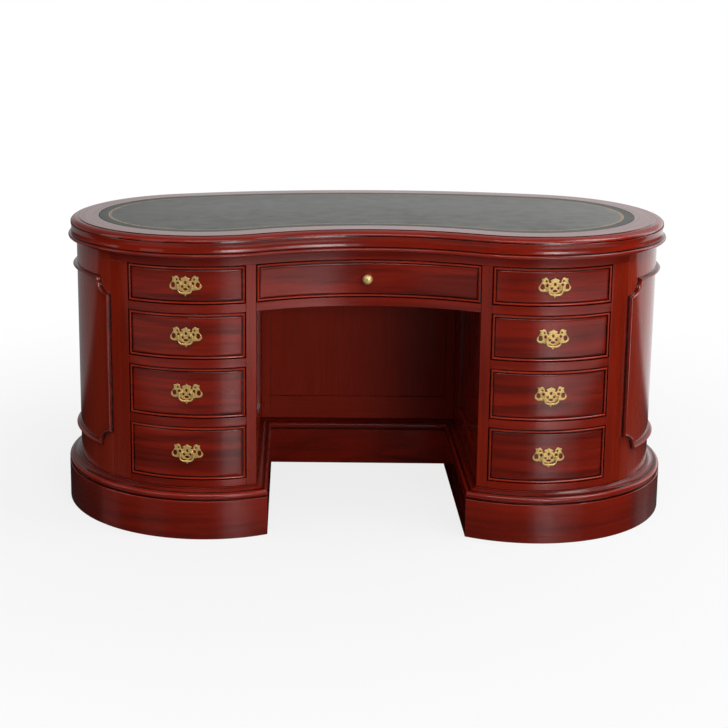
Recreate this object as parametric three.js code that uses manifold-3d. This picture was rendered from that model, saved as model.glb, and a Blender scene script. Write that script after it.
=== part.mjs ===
// A kidney shaped pedestal desk in mahogany: a moulded top with a leather inlay, two pedestals of four
// bowed drawers, a hollow centre drawer, curved panelled ends and a moulded plinth.
// Millimetres, +Z up. The front faces -Y and the floor is at Z = 0.
import * as THREE from "three";
import { mergeVertices } from "three/addons/utils/BufferGeometryUtils.js";
import Module from "manifold-3d";

// Plan of the carcass: each end is an arc about a pedestal centre, the front between them is a hollow arc
// and the back is one long bowed arc, all tangent to each other.
const pedestal_radius = 350;
const pedestal_spacing = 848;
const hollow_radius = 610;
const back_radius = 1804;
const hollow_steps = 6;
const pedestal_steps = 20;
const back_steps = 5;

// Heights
const desk_height = 780;
const plinth_height = 128;
const top_edge_height = 53;
const frieze_rail_height = 24;
const drawer_rail_height = 22;
const bottom_board_thickness = 18;

// Boards
const wall_thickness = 22;
const side_thickness = 25;
const partition_thickness = 18;
const kneehole_width = 561;
const drawer_opening_width = 300;
const outer_stile_width = 48;
const back_panel_reach = 526;
const seat_gap = 0.3;
const overrun = 5;

// Top
const top_overhang = 22;
const top_board_thickness = 26;
const top_edge_width = 62;
const leather_border = 60;
const leather_thickness = 1.7;

// Plinth
const plinth_projection = 33;
const kneehole_plinth_projection = 28.5;
const plinth_face_height = 101;

// Kneehole sides and back
const side_panel_front_stile = 60;
const side_panel_back_stile = 125;
const side_panel_recess = 8;
const kneehole_back_space = 107;
const kneehole_back_thickness = 20;
const kneehole_stile_width = 25;
const kneehole_rail_height = 66;
const kneehole_head_height = 22;
const kneehole_panel_recess = 7;

// Raised panel mouldings
const panel_moulding_width = 12;
const panel_moulding_height = 11;
const panel_top_margin = 71;
const panel_bottom_margin = 74;
const notch_radius = 42;
const notch_steps = 4;
const end_panel_back_reach = 575;
const back_panel_moulding_reach = 490;

// Drawers
const drawer_gap = 1.5;
const front_thickness = 24;
const field_drop = 1.5;
const bead_proud = 2;
const bead_width = 7;
const quirk_width = 4;
const quirk_depth = 4;
const box_side_gap = 3;
const box_wall = 12;
const box_bottom = 8;
const box_head_gap = 12;
const box_front_gap = 0.6;
const box_back_space = 40;
const centre_box_back_space = 52;
const frame_back_space = 18;
const runner_width = 30;
const frame_back_width = 30;
const rail_depth = 46;

// Handles and knob
const plate_half_width = 43;
const plate_height = 57;
const plate_thickness = 2.5;
const plate_centre_rise = 1;
const plate_hole_sides = 5;
const post_spacing = 25;
const post_rise = 3.5;
const post_radius = 2.8;
const post_length = 12;
const post_sides = 8;
const pin_setback = 2.5;
const bail_drop = 25;
const bail_radius = 2.1;
const bail_sides = 6;
const bail_steps = 12;
const knob_radius = 13;
const knob_length = 27;
const knob_sides = 14;

// Heights of the four drawer openings of a pedestal, from the top down: shares of what the rails leave.
const opening_height_shares = [0.2, 0.243, 0.268, 0.289];

// Outline of the moulded top edge, from its underside up to the board's surface:
// shares of the overhang and of the edge's height.
const top_edge_shares = [
  [0.68, 0],
  [0.95, 0.03],
  [1, 0.09],
  [0.62, 0.19],
  [0.7, 0.235],
  [0.62, 0.45],
  [0.7, 0.66],
  [0.62, 0.71],
  [0.71, 0.76],
  [0.62, 0.84],
  [0.36, 0.92],
  [-0.27, 0.955],
  [-0.27, 1],
];

// Outline of the plinth's moulding above its face: shares of the projection and of the moulding's height.
const plinth_moulding_shares = [
  [1, 0],
  [0.88, 0.07],
  [0.97, 0.3],
  [0.88, 0.62],
  [0.61, 0.74],
  [0.52, 0.87],
  [0.24, 0.93],
  [0.12, 1],
];

// Section of a raised panel moulding: shares of its width and of its height. The foot is cut to the wall.
const panel_moulding_shares = [
  [0, -0.27],
  [0.14, 0.8],
  [0.5, 1],
  [0.86, 0.8],
  [1, -0.27],
];

// Right half of the pierced plate's outline: shares of its half width and of its height from the centre.
const plate_outline_shares = [
  [0, 0.465],
  [0.07, 0.4],
  [0.21, 0.353],
  [0.3, 0.242],
  [0.375, 0.223],
  [0.42, 0.335],
  [0.53, 0.43],
  [0.66, 0.38],
  [0.81, 0.385],
  [0.79, 0.256],
  [0.88, 0.14],
  [0.985, 0.023],
  [1, -0.07],
  [0.91, -0.167],
  [0.73, -0.214],
  [0.545, -0.219],
  [0.485, -0.265],
  [0.44, -0.195],
  [0.39, -0.28],
  [0.24, -0.37],
  [0.08, -0.41],
  [0.06, -0.465],
  [0, -0.535],
];

// Piercings of the plate's right half: centre and radii as shares of the half width and of the height.
// One in the middle of the plate is made once.
const plate_piercing_shares = [
  [0.8, 0.02, 0.07, 0.1],
  [0.42, 0.05, 0.06, 0.045],
  [0.21, -0.08, 0.065, 0.048],
  [0, -0.215, 0.095, 0.05],
];

// Half of the bail from its pin to the middle of the grip: shares of the bail's half width and of its drop.
const bail_shares = [
  [1, 0],
  [1.02, -0.22],
  [1.04, -0.46],
  [0.97, -0.7],
  [0.72, -0.91],
  [0.38, -0.985],
];

// Profile of the turned knob from its foot to its crown: shares of its radius and of its length.
const knob_shares = [
  [0.62, 0],
  [0.62, 0.07],
  [0.36, 0.14],
  [0.34, 0.24],
  [0.72, 0.32],
  [0.97, 0.48],
  [1, 0.62],
  [0.86, 0.82],
  [0.5, 0.96],
];

// Finishes
const finish = (color, roughness, metalness) =>
  new THREE.MeshStandardMaterial({ color, roughness, metalness });
const mahogany = () => finish(0x6e1a10, 0.28, 0);
const drawer_wood = () => finish(0xb08a5a, 0.6, 0);
const green_leather = () => finish(0x2f3d35, 0.5, 0);
const brass = () => finish(0xd9b45c, 0.25, 1);

const wasm = await Module();
wasm.setup();

// Solids

function solidOf(geometry) {
  const bare = geometry.clone();
  bare.deleteAttribute("normal");
  bare.deleteAttribute("uv");
  const merged = mergeVertices(bare);
  return new wasm.Manifold(
    new wasm.Mesh({
      numProp: 3,
      vertProperties: merged.attributes.position.array,
      triVerts: new Uint32Array(merged.index.array),
    }),
  );
}

function geometryOf(solid) {
  const mesh = solid.getMesh();
  const geometry = new THREE.BufferGeometry();
  geometry.setAttribute("position", new THREE.Float32BufferAttribute(mesh.vertProperties, mesh.numProp));
  geometry.setIndex([...mesh.triVerts]);
  return geometry;
}

function cut(body, ...tools) {
  return geometryOf(tools.reduce((rest, tool) => rest.subtract(solidOf(tool)), solidOf(body)));
}

function join(body, ...others) {
  return geometryOf(others.reduce((whole, other) => whole.add(solidOf(other)), solidOf(body)));
}

function common(body, other) {
  return geometryOf(solidOf(body).intersect(solidOf(other)));
}

function extruded(points, low, high) {
  const shape = new THREE.Shape(points);
  return new THREE.ExtrudeGeometry(shape, { depth: high - low, bevelEnabled: false }).translate(0, 0, low);
}

function box(low, high) {
  const size = new THREE.Vector3().subVectors(high, low);
  const middle = new THREE.Vector3().addVectors(low, high).divideScalar(2);
  return new THREE.BoxGeometry(size.x, size.y, size.z).translate(middle.x, middle.y, middle.z);
}

function corner(x, y, z) {
  return new THREE.Vector3(x, y, z);
}

function named(name, geometry, material) {
  geometry.computeVertexNormals();
  const mesh = new THREE.Mesh(geometry, material);
  mesh.name = name;
  return mesh;
}

// Plan: a run is the distance along the outline from the middle of the front, positive to the right,
// and an offset is the distance outside it.

const half_spacing = pedestal_spacing / 2;
const hollow_centre_y = -Math.sqrt((hollow_radius + pedestal_radius) ** 2 - half_spacing ** 2);
const back_centre_y = -Math.sqrt((back_radius - pedestal_radius) ** 2 - half_spacing ** 2);
const hollow_angle = Math.atan2(half_spacing, -hollow_centre_y);
const back_angle = Math.atan2(half_spacing, -back_centre_y);
const hollow_run = hollow_radius * hollow_angle;
const pedestal_run = pedestal_radius * (Math.PI - back_angle + hollow_angle);
const half_run = hollow_run + pedestal_run + back_radius * back_angle;

function planPoint(run, offset) {
  if (run < 0) {
    const other = planPoint(-run, offset);
    return new THREE.Vector2(-other.x, other.y);
  }
  if (run > half_run) {
    const other = planPoint(2 * half_run - run, offset);
    return new THREE.Vector2(-other.x, other.y);
  }
  if (run < hollow_run) {
    const turn = run / hollow_radius;
    const reach = hollow_radius - offset;
    return new THREE.Vector2(reach * Math.sin(turn), hollow_centre_y + reach * Math.cos(turn));
  }
  if (run < hollow_run + pedestal_run) {
    const turn = (run - hollow_run) / pedestal_radius - hollow_angle;
    const reach = pedestal_radius + offset;
    return new THREE.Vector2(half_spacing + reach * Math.sin(turn), -reach * Math.cos(turn));
  }
  const turn = (half_run - run) / back_radius;
  const reach = back_radius + offset;
  return new THREE.Vector2(reach * Math.sin(turn), back_centre_y + reach * Math.cos(turn));
}

const half_stations = [
  ...Array.from({ length: hollow_steps }, (_, i) => (hollow_run * i) / hollow_steps),
  ...Array.from({ length: pedestal_steps }, (_, i) => hollow_run + (pedestal_run * i) / pedestal_steps),
  ...Array.from(
    { length: back_steps + 1 },
    (_, i) => hollow_run + pedestal_run + ((half_run - hollow_run - pedestal_run) * i) / back_steps,
  ),
];
const stations = [
  ...half_stations.map((run) => -run).reverse(),
  ...half_stations.slice(1),
  ...half_stations.map((run) => 2 * half_run - run).reverse().slice(1),
];

function stationsBetween(from, to) {
  const nearest = panel_moulding_width / 100;
  return stations.filter((run) => run > from + nearest && run < to - nearest);
}

function runPoints(from, to, offset) {
  return [from, ...stationsBetween(from, to), to].map((run) => planPoint(run, offset));
}

// The whole outline at an offset, anticlockwise from above.
function outline(offset) {
  return stations.filter((run) => run > -half_run && run <= half_run).map((run) => planPoint(run, offset));
}

// Run at which the front, or the back, of the outline at an offset crosses a plane of constant x.
function frontRun(x, offset) {
  const side = Math.sign(x);
  const reach = Math.abs(x);
  if (reach <= (hollow_radius - offset) * Math.sin(hollow_angle)) {
    return side * hollow_radius * Math.asin(reach / (hollow_radius - offset));
  }
  const turn = Math.asin((reach - half_spacing) / (pedestal_radius + offset));
  return side * (hollow_run + pedestal_radius * (turn + hollow_angle));
}

function backRun(x, offset) {
  if (Math.abs(x) <= (back_radius + offset) * Math.sin(back_angle)) {
    return half_run - back_radius * Math.asin(x / (back_radius + offset));
  }
  const turn = Math.PI - Math.asin((x - half_spacing) / (pedestal_radius + offset));
  return hollow_run + pedestal_radius * (turn + hollow_angle);
}

function frontEdge(low_x, high_x, offset) {
  return runPoints(frontRun(low_x, offset), frontRun(high_x, offset), offset);
}

function backEdge(low_x, high_x, offset) {
  return runPoints(backRun(high_x, offset), backRun(low_x, offset), offset);
}

// A curved board of the front between two planes of constant x.
function frontBoard(low_x, high_x, outer, inner, low, high) {
  const points = [...frontEdge(low_x, high_x, outer), ...frontEdge(low_x, high_x, inner).reverse()];
  return extruded(points, low, high);
}

// What lies in front of the outline at an offset, between two planes of constant x.
function inFront(low_x, high_x, offset, low, high) {
  const front_y = -pedestal_radius - overrun;
  const start = [new THREE.Vector2(low_x, front_y), new THREE.Vector2(high_x, front_y)];
  return extruded([...start, ...frontEdge(low_x, high_x, offset).reverse()], low, high);
}

// A curved board between two runs, with radial ends.
function curvedBoard(from, to, outer, inner, low, high) {
  return extruded([...runPoints(from, to, outer), ...runPoints(from, to, inner).reverse()], low, high);
}

// Grids of points joined to closed bodies

function gridFaces(rows, columns, wrap_rows, wrap_columns) {
  const faces = [];
  for (let i = 0; i < rows - (wrap_rows ? 0 : 1); i++) {
    for (let j = 0; j < columns - (wrap_columns ? 0 : 1); j++) {
      const a = i * columns + j;
      const b = i * columns + ((j + 1) % columns);
      const c = ((i + 1) % rows) * columns + ((j + 1) % columns);
      const d = ((i + 1) % rows) * columns + j;
      faces.push(a, b, c, a, c, d);
    }
  }
  return faces;
}

function meshed(points, faces) {
  const geometry = new THREE.BufferGeometry().setFromPoints(points);
  geometry.setIndex(faces);
  return geometry;
}

// Rows of points round a closed outline, from the lowest to the highest, with flat ends.
function stacked(rows) {
  const columns = rows[0].length;
  const faces = gridFaces(rows.length, columns, false, true);
  const flat = (row) => row.map((p) => new THREE.Vector2(p.x, p.y));
  const last = (rows.length - 1) * columns;
  for (const [a, b, c] of THREE.ShapeUtils.triangulateShape(flat(rows[0]), [])) {
    faces.push(a, c, b);
  }
  for (const [a, b, c] of THREE.ShapeUtils.triangulateShape(flat(rows[rows.length - 1]), [])) {
    faces.push(last + a, last + b, last + c);
  }
  return meshed(rows.flat(), faces);
}

// A moulding of closed section. Each point of the section has its own line of points.
function swept(section, lines) {
  const columns = lines[0].length;
  const faces = gridFaces(lines.length, columns, true, false);
  for (const [a, b, c] of THREE.ShapeUtils.triangulateShape(section, [])) {
    faces.push(a * columns, b * columns, c * columns);
    faces.push((a + 1) * columns - 1, (c + 1) * columns - 1, (b + 1) * columns - 1);
  }
  return meshed(lines.flat(), faces);
}

// A closed frame of moulding: an outline with notched corners, inset step by step across the section.
function notchedOutline(low_u, high_u, low_v, high_v, radius, inset, stops) {
  const reach = Math.sqrt((radius + inset) ** 2 - inset ** 2);
  const first = Math.asin(inset / (radius + inset));
  const sweep = Math.PI / 2 - 2 * first;
  const notch = (u, v, start) =>
    Array.from({ length: notch_steps + 1 }, (_, i) => {
      const turn = start - first - (sweep * i) / notch_steps;
      return [u + (radius + inset) * Math.cos(turn), v + (radius + inset) * Math.sin(turn)];
    });
  const margin = radius + 2 * panel_moulding_width;
  const inner_stops = stops.filter((u) => u > low_u + margin && u < high_u - margin);
  return [
    ...notch(low_u, low_v, Math.PI / 2),
    ...inner_stops.map((u) => [u, low_v + inset]),
    ...notch(high_u, low_v, Math.PI),
    ...notch(high_u, high_v, (3 * Math.PI) / 2),
    ...inner_stops.map((u) => [u, high_v - inset]).reverse(),
    ...notch(low_u, high_v, 2 * Math.PI),
  ];
}

function framed(insetOutline, place) {
  const lines = panel_moulding_shares.map(([across, up]) =>
    insetOutline(across * panel_moulding_width).map(([u, v]) => place(u, v, up * panel_moulding_height)),
  );
  return meshed(lines.flat(), gridFaces(lines.length, lines[0].length, true, true));
}

// Heights of the front, from the floor up

const carcass_low = plinth_height + seat_gap;
const carcass_high = desk_height - top_edge_height - seat_gap;
const frieze_low = desk_height - top_edge_height - frieze_rail_height;
const rails_height = (opening_height_shares.length - 1) * drawer_rail_height;
const openings_height = frieze_low - rails_height - bottom_board_thickness - plinth_height;
const openings = opening_height_shares.map((share, i) => {
  const above = opening_height_shares.slice(0, i).reduce((sum, one) => sum + one * openings_height, 0);
  const high = frieze_low - above - i * drawer_rail_height;
  return { low: high - share * openings_height, high };
});

const kneehole_side_x = kneehole_width / 2;
const opening_low_x = kneehole_side_x + side_thickness;
const opening_high_x = opening_low_x + drawer_opening_width;
const stile_high_x = opening_high_x + outer_stile_width;

// Depths, from the back wall forward

function backInnerY(x) {
  return planPoint(backRun(x, -wall_thickness), -wall_thickness).y;
}

const frame_back_y = backInnerY(opening_high_x) - frame_back_space;
const box_back_y = frame_back_y - box_back_space;
const kneehole_back_y = backInnerY(kneehole_side_x) - kneehole_back_space - kneehole_back_thickness;
const centre_box_back_y = kneehole_back_y - centre_box_back_space;

// Top

function topBoard() {
  const low = desk_height - top_edge_height;
  const rows = top_edge_shares.map(([out, up]) =>
    outline(out * top_overhang).map((p) => corner(p.x, p.y, low + up * top_edge_height)),
  );
  const hollow_low = low - overrun;
  const hollow_high = desk_height - top_board_thickness;
  const underside = extruded(outline(top_overhang - top_edge_width), hollow_low, hollow_high);
  const recess_low = desk_height - leather_thickness - seat_gap;
  const recess = extruded(outline(-leather_border), recess_low, desk_height + overrun);
  return named("top_board", cut(stacked(rows), underside, recess), mahogany());
}

function leatherInlay() {
  const low = desk_height - leather_thickness;
  const sheet = extruded(outline(-leather_border - seat_gap), low, desk_height);
  return named("leather_inlay", sheet, green_leather());
}

// The end walls and the back wall start beside the outer stiles and go round the back.
const wall_run = frontRun(stile_high_x, 0);

// Raised panel mouldings

const moulding_low = plinth_height + panel_bottom_margin;
const moulding_high = desk_height - top_edge_height - panel_top_margin;
const kneehole_panel_high = openings[0].low - drawer_rail_height - kneehole_head_height;

function wallMoulding(from, to) {
  return framed(
    (inset) => notchedOutline(from, to, moulding_low, moulding_high, notch_radius, inset, stations),
    (run, z, height) => {
      const p = planPoint(run, height);
      return corner(p.x, p.y, z);
    },
  );
}

function endMoulding(side) {
  const from = frontRun(stile_high_x, 0) + panel_moulding_width / 4;
  const to = backRun(end_panel_back_reach, 0);
  const wall = curvedBoard(wall_run, half_run, seat_gap, -wall_thickness, carcass_low, carcass_high);
  return named(`${side}_end_moulding`, cut(wallMoulding(from, to), wall), mahogany());
}

// Carcass

function insideOfWalls(body) {
  const reach = 2 * half_run - wall_run;
  return cut(body, curvedBoard(wall_run, reach, overrun, -wall_thickness - seat_gap, 0, desk_height));
}

function friezeRail() {
  const low = frieze_low + seat_gap;
  const board = curvedBoard(-wall_run, wall_run, 0, -wall_thickness, low, carcass_high);
  return named("frieze_rail", board, mahogany());
}

// A kneehole side reaches from the front, where its edge is the inner stile, to the back wall.
// It is notched round the frieze rail and has a recessed panel beside the sitter's legs.
function kneeholeSide(side) {
  const points = [
    ...frontEdge(kneehole_side_x, opening_low_x, 0),
    ...backEdge(kneehole_side_x, opening_low_x, -wall_thickness / 2),
  ];
  const rail_back = -wall_thickness - seat_gap;
  const notch = inFront(-opening_high_x, opening_high_x, rail_back, frieze_low, desk_height);
  const board = insideOfWalls(extruded(points, carcass_low, carcass_high));
  const panel_front_y = planPoint(frontRun(kneehole_side_x, 0), 0).y + side_panel_front_stile;
  const panel_back_y = kneehole_back_y - side_panel_back_stile;
  const panel = box(
    corner(kneehole_side_x - overrun, panel_front_y, moulding_low),
    corner(kneehole_side_x + side_panel_recess, panel_back_y, kneehole_panel_high),
  );
  return named(`${side}_kneehole_side`, cut(board, notch, panel), mahogany());
}

// The outer side carries the wide outer stile on its front edge and stands against the curved end wall.
function outerSide(side) {
  const low_x = opening_high_x;
  const high_x = low_x + partition_thickness;
  const stile = extruded(
    [
      ...runPoints(frontRun(low_x, 0), wall_run, 0),
      ...runPoints(frontRun(low_x, -wall_thickness), wall_run, -wall_thickness).reverse(),
    ],
    carcass_low,
    frieze_low,
  );
  const points = [
    ...frontEdge(low_x, high_x, -wall_thickness / 2),
    ...backEdge(low_x, high_x, -wall_thickness / 2),
  ];
  const partition = insideOfWalls(extruded(points, carcass_low, frieze_low));
  return named(`${side}_outer_side`, join(stile, partition), mahogany());
}

function endWall(side) {
  const to = backRun(back_panel_reach, 0) - seat_gap;
  const wall = curvedBoard(wall_run + seat_gap, to, 0, -wall_thickness, carcass_low, carcass_high);
  return named(`${side}_end_wall`, wall, mahogany());
}

function backWall() {
  const from = backRun(back_panel_reach, 0);
  const wall = curvedBoard(from, 2 * half_run - from, 0, -wall_thickness, carcass_low, carcass_high);
  const panel_from = backRun(back_panel_moulding_reach, 0);
  return named("back_wall", join(wall, wallMoulding(panel_from, 2 * half_run - panel_from)), mahogany());
}

// Each drawer of a pedestal runs on a frame between the two sides, and the lowest on the bottom board.
// The front edge of each is the rail under the drawer.
function drawerCarrier(side, i) {
  const low_x = opening_low_x + seat_gap;
  const high_x = opening_high_x - seat_gap;
  const high = openings[i].low;
  const board = [
    ...frontEdge(low_x, high_x, 0),
    new THREE.Vector2(high_x, frame_back_y),
    new THREE.Vector2(low_x, frame_back_y),
  ];
  if (i === openings.length - 1) {
    return named(`${side}_bottom_board`, extruded(board, carcass_low, high), mahogany());
  }
  const hole_front_y = planPoint(frontRun(high_x, 0), 0).y + rail_depth;
  const hole = box(
    corner(low_x + runner_width, hole_front_y, high - drawer_rail_height - overrun),
    corner(high_x - runner_width, frame_back_y - frame_back_width, high + overrun),
  );
  const frame = cut(extruded(board, high - drawer_rail_height, high), hole);
  return named(`${side}_runner_frame_${i + 1}`, frame, mahogany());
}

function centreRunnerFrame() {
  const reach = kneehole_side_x - seat_gap;
  const high = openings[0].low;
  const back_y = kneehole_back_y - seat_gap;
  const board = extruded(
    [...frontEdge(-reach, reach, 0), new THREE.Vector2(reach, back_y), new THREE.Vector2(-reach, back_y)],
    high - drawer_rail_height,
    high,
  );
  const hole = box(
    corner(runner_width - reach, planPoint(0, 0).y + rail_depth, high - drawer_rail_height - overrun),
    corner(reach - runner_width, back_y - frame_back_width, high + overrun),
  );
  return named("centre_runner_frame", cut(board, hole), mahogany());
}

// Kneehole back: stiles and rails round a panel that lies deeper.
function kneeholeBack() {
  const reach = kneehole_side_x - seat_gap;
  const panel_low = plinth_height + kneehole_rail_height;
  const board = box(
    corner(-reach, kneehole_back_y, carcass_low),
    corner(reach, kneehole_back_y + kneehole_back_thickness, carcass_high),
  );
  const recess = box(
    corner(kneehole_stile_width - reach, kneehole_back_y - overrun, panel_low),
    corner(reach - kneehole_stile_width, kneehole_back_y + kneehole_panel_recess, kneehole_panel_high),
  );
  return named("kneehole_back", cut(board, recess), mahogany());
}

// Plinth: one section, carried round the pedestals and returned into the kneehole with mitres.

const plinth_section_shares = [
  [-wall_thickness / plinth_projection, 0],
  [1, 0],
  ...plinth_moulding_shares.map(([out, up]) => [
    out,
    (plinth_face_height + up * (plinth_height - plinth_face_height)) / plinth_height,
  ]),
  [-wall_thickness / plinth_projection, 1],
];

function plinthSection(projection) {
  return plinth_section_shares.map(([out, up]) => new THREE.Vector2(out * projection, up * plinth_height));
}

function pedestalPlinth(side) {
  const section = plinthSection(plinth_projection);
  const starts = section.map(({ x: out }) => {
    const inward = (out / plinth_projection) * kneehole_plinth_projection;
    return frontRun(kneehole_side_x - inward, out) + seat_gap;
  });
  const to = half_run - seat_gap / 2;
  const between = stationsBetween(Math.max(...starts), to);
  const lines = section.map(({ x: out, y: up }, i) =>
    [starts[i], ...between, to].map((run) => {
      const p = planPoint(run, out);
      return corner(p.x, p.y, up);
    }),
  );
  return named(`${side}_plinth`, swept(section, lines), mahogany());
}

// The kneehole's plinth runs along one side, across the back and out along the other side.
function kneeholePlinth() {
  const section = plinthSection(kneehole_plinth_projection);
  const lines = section.map(({ x: out, y: up }) => {
    const front_out = (out / kneehole_plinth_projection) * plinth_projection;
    const x = kneehole_side_x - out;
    const front_y = planPoint(frontRun(x, front_out), front_out).y;
    const back_y = kneehole_back_y - out;
    return [corner(-x, front_y, up), corner(-x, back_y, up), corner(x, back_y, up), corner(x, front_y, up)];
  });
  return named("kneehole_plinth", swept(section, lines), mahogany());
}

// Drawers

// A curved front with a proud bead along its edges, a quirk inside the bead and a flat field.
// It fills an opening of the carcass, less a gap all round.
function drawerFront(name, low_x, high_x, opening) {
  const layer = (inset, outer, inner) => {
    const margin = drawer_gap + inset;
    return frontBoard(
      low_x + margin,
      high_x - margin,
      outer,
      inner,
      opening.low + margin,
      opening.high - margin,
    );
  };
  const body = layer(0, -quirk_depth, -front_thickness);
  const rim = layer(0, bead_proud, -quirk_depth - seat_gap);
  const bead = cut(rim, layer(bead_width, overrun, -front_thickness));
  const field = layer(bead_width + quirk_width, -field_drop, -quirk_depth - seat_gap);
  return named(name, join(body, bead, field), mahogany());
}

// A drawer box has two sides, a back and a bottom. The drawer front closes it.
function drawerBox(name, low_x, high_x, back_y, opening) {
  const front_y = -pedestal_radius;
  const low = opening.low + seat_gap;
  const block = box(
    corner(low_x + box_side_gap, front_y, low),
    corner(high_x - box_side_gap, back_y, opening.high - box_head_gap),
  );
  const room = box(
    corner(low_x + box_side_gap + box_wall, front_y - overrun, low + box_bottom),
    corner(high_x - box_side_gap - box_wall, back_y - box_wall, opening.high + overrun),
  );
  const front_back = -front_thickness - box_front_gap;
  const front = inFront(low_x + drawer_gap, high_x - drawer_gap, front_back, 0, desk_height);
  return named(name, cut(block, room, front), drawer_wood());
}

// Handle: a pierced plate with two posts, and a bail that hangs between the posts.

function plateOutline() {
  const right = plate_outline_shares.map(
    ([out, up]) => new THREE.Vector2(out * plate_half_width, up * plate_height),
  );
  const left = right.slice(1, -1).map((p) => new THREE.Vector2(-p.x, p.y));
  return [...right.reverse(), ...left];
}

function piercing(x, y, radius_x, radius_y) {
  const points = Array.from({ length: plate_hole_sides }, (_, i) => {
    const turn = (2 * Math.PI * i) / plate_hole_sides;
    return new THREE.Vector2(x + radius_x * Math.cos(turn), y + radius_y * Math.sin(turn));
  });
  return new THREE.Path(points);
}

// A handle stands square to the bow at its middle. Its own frame has X along the drawer and -Y outward.
function placed(geometry, x, z) {
  const run = frontRun(x, -field_drop);
  const seat = planPoint(run, -field_drop);
  return geometry.rotateZ((run - hollow_run) / pedestal_radius - hollow_angle).translate(seat.x, seat.y, z);
}

// The plate is bent to the bow of the drawer front.
function handlePlate(name, x, z) {
  const shape = new THREE.Shape(plateOutline());
  for (const [out, up, wide, tall] of plate_piercing_shares) {
    for (const side of out === 0 ? [1] : [1, -1]) {
      shape.holes.push(
        piercing(
          side * out * plate_half_width,
          up * plate_height,
          wide * plate_half_width,
          tall * plate_height,
        ),
      );
    }
  }
  const depth = 2 * post_length;
  const pierced = new THREE.ExtrudeGeometry(shape, { depth, bevelEnabled: false });
  const blank = placed(pierced.translate(0, 0, -depth / 2).rotateX(Math.PI / 2), x, z);
  const inner = seat_gap - field_drop;
  const reach = 2 * plate_half_width;
  const outer = inner + plate_thickness;
  const sheet = frontBoard(x - reach, x + reach, outer, inner, z - plate_height, z + plate_height);
  const posts = [1, -1].map((side) =>
    placed(
      new THREE.CylinderGeometry(post_radius, post_radius, post_length, post_sides)
        .translate((side * post_spacing) / 2, -plate_thickness / 2 - post_length / 2, post_rise),
      x,
      z,
    ),
  );
  return named(name, join(common(blank, sheet), ...posts), brass());
}

const pin_offset = plate_thickness / 2 + post_length - pin_setback;

// The bail's two ends are round and stand close outside the posts, on the line that it swings about.
function bail(name, x, z) {
  const half_width = post_spacing / 2 + post_radius + seat_gap + bail_radius;
  const right = bail_shares.map(([out, down]) => corner(out * half_width, 0, down * bail_drop));
  const left = right.map((p) => corner(-p.x, 0, p.z)).reverse();
  const section = new THREE.Shape(
    Array.from({ length: bail_sides }, (_, i) => {
      const turn = (2 * Math.PI * i) / bail_sides;
      return new THREE.Vector2(bail_radius * Math.cos(turn), bail_radius * Math.sin(turn));
    }),
  );
  const rod = new THREE.ExtrudeGeometry(section, {
    steps: bail_steps,
    extrudePath: new THREE.CatmullRomCurve3([...right, corner(0, 0, -bail_drop), ...left]),
  });
  const ends = [1, -1].map((side) =>
    new THREE.SphereGeometry(bail_radius, bail_sides, bail_sides / 2).translate(side * half_width, 0, 0),
  );
  const whole = join(rod, ...ends).translate(0, -pin_offset, post_rise);
  return named(name, placed(whole, x, z), brass());
}

function knob(y, z) {
  const profile = [
    new THREE.Vector2(0, 0),
    ...knob_shares.map(([out, up]) => new THREE.Vector2(out * knob_radius, up * knob_length)),
    new THREE.Vector2(0, knob_length),
  ];
  const turned = new THREE.LatheGeometry(profile, knob_sides).rotateX(Math.PI);
  return named("centre_knob", turned.translate(0, y - seat_gap, z), brass());
}

// Assembly

function pedestal(side) {
  const group = new THREE.Group();
  group.add(kneeholeSide(side), outerSide(side), endWall(side), endMoulding(side), pedestalPlinth(side));
  const low_x = opening_low_x;
  const high_x = opening_high_x;
  const middle_x = (low_x + high_x) / 2;
  openings.forEach((opening, i) => {
    const name = `${side}_drawer_${i + 1}`;
    const middle_z = (opening.low + opening.high) / 2 + plate_centre_rise;
    group.add(
      drawerCarrier(side, i),
      drawerFront(`${name}_front`, low_x, high_x, opening),
      drawerBox(`${name}_box`, low_x, high_x, box_back_y, opening),
      handlePlate(`${name}_plate`, middle_x, middle_z),
      bail(`${name}_bail`, middle_x, middle_z),
    );
  });
  return group;
}

function centreDrawer() {
  const opening = openings[0];
  const reach = kneehole_side_x;
  const group = new THREE.Group();
  group.add(
    drawerFront("centre_drawer_front", -reach, reach, opening),
    drawerBox("centre_drawer_box", -reach, reach, centre_box_back_y, opening),
    knob(planPoint(0, -field_drop).y, (opening.low + opening.high) / 2),
  );
  return group;
}

const desk = new THREE.Group();
const right = pedestal("right");
const left = pedestal("left");
left.scale.x = -1;
desk.add(topBoard(), leatherInlay(), friezeRail(), centreRunnerFrame(), backWall(), kneeholeBack());
desk.add(kneeholePlinth(), centreDrawer(), right, left);

// The origin is on the floor, under the middle of the desk's box.
const front_reach = pedestal_radius + plinth_projection;
const back_reach = back_centre_y + back_radius + plinth_projection;
desk.position.y = (front_reach - back_reach) / 2;

const group = new THREE.Group();
group.add(desk);

export default group;
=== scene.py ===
import math

import bmesh
import bpy
from mathutils import Matrix, Vector


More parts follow.
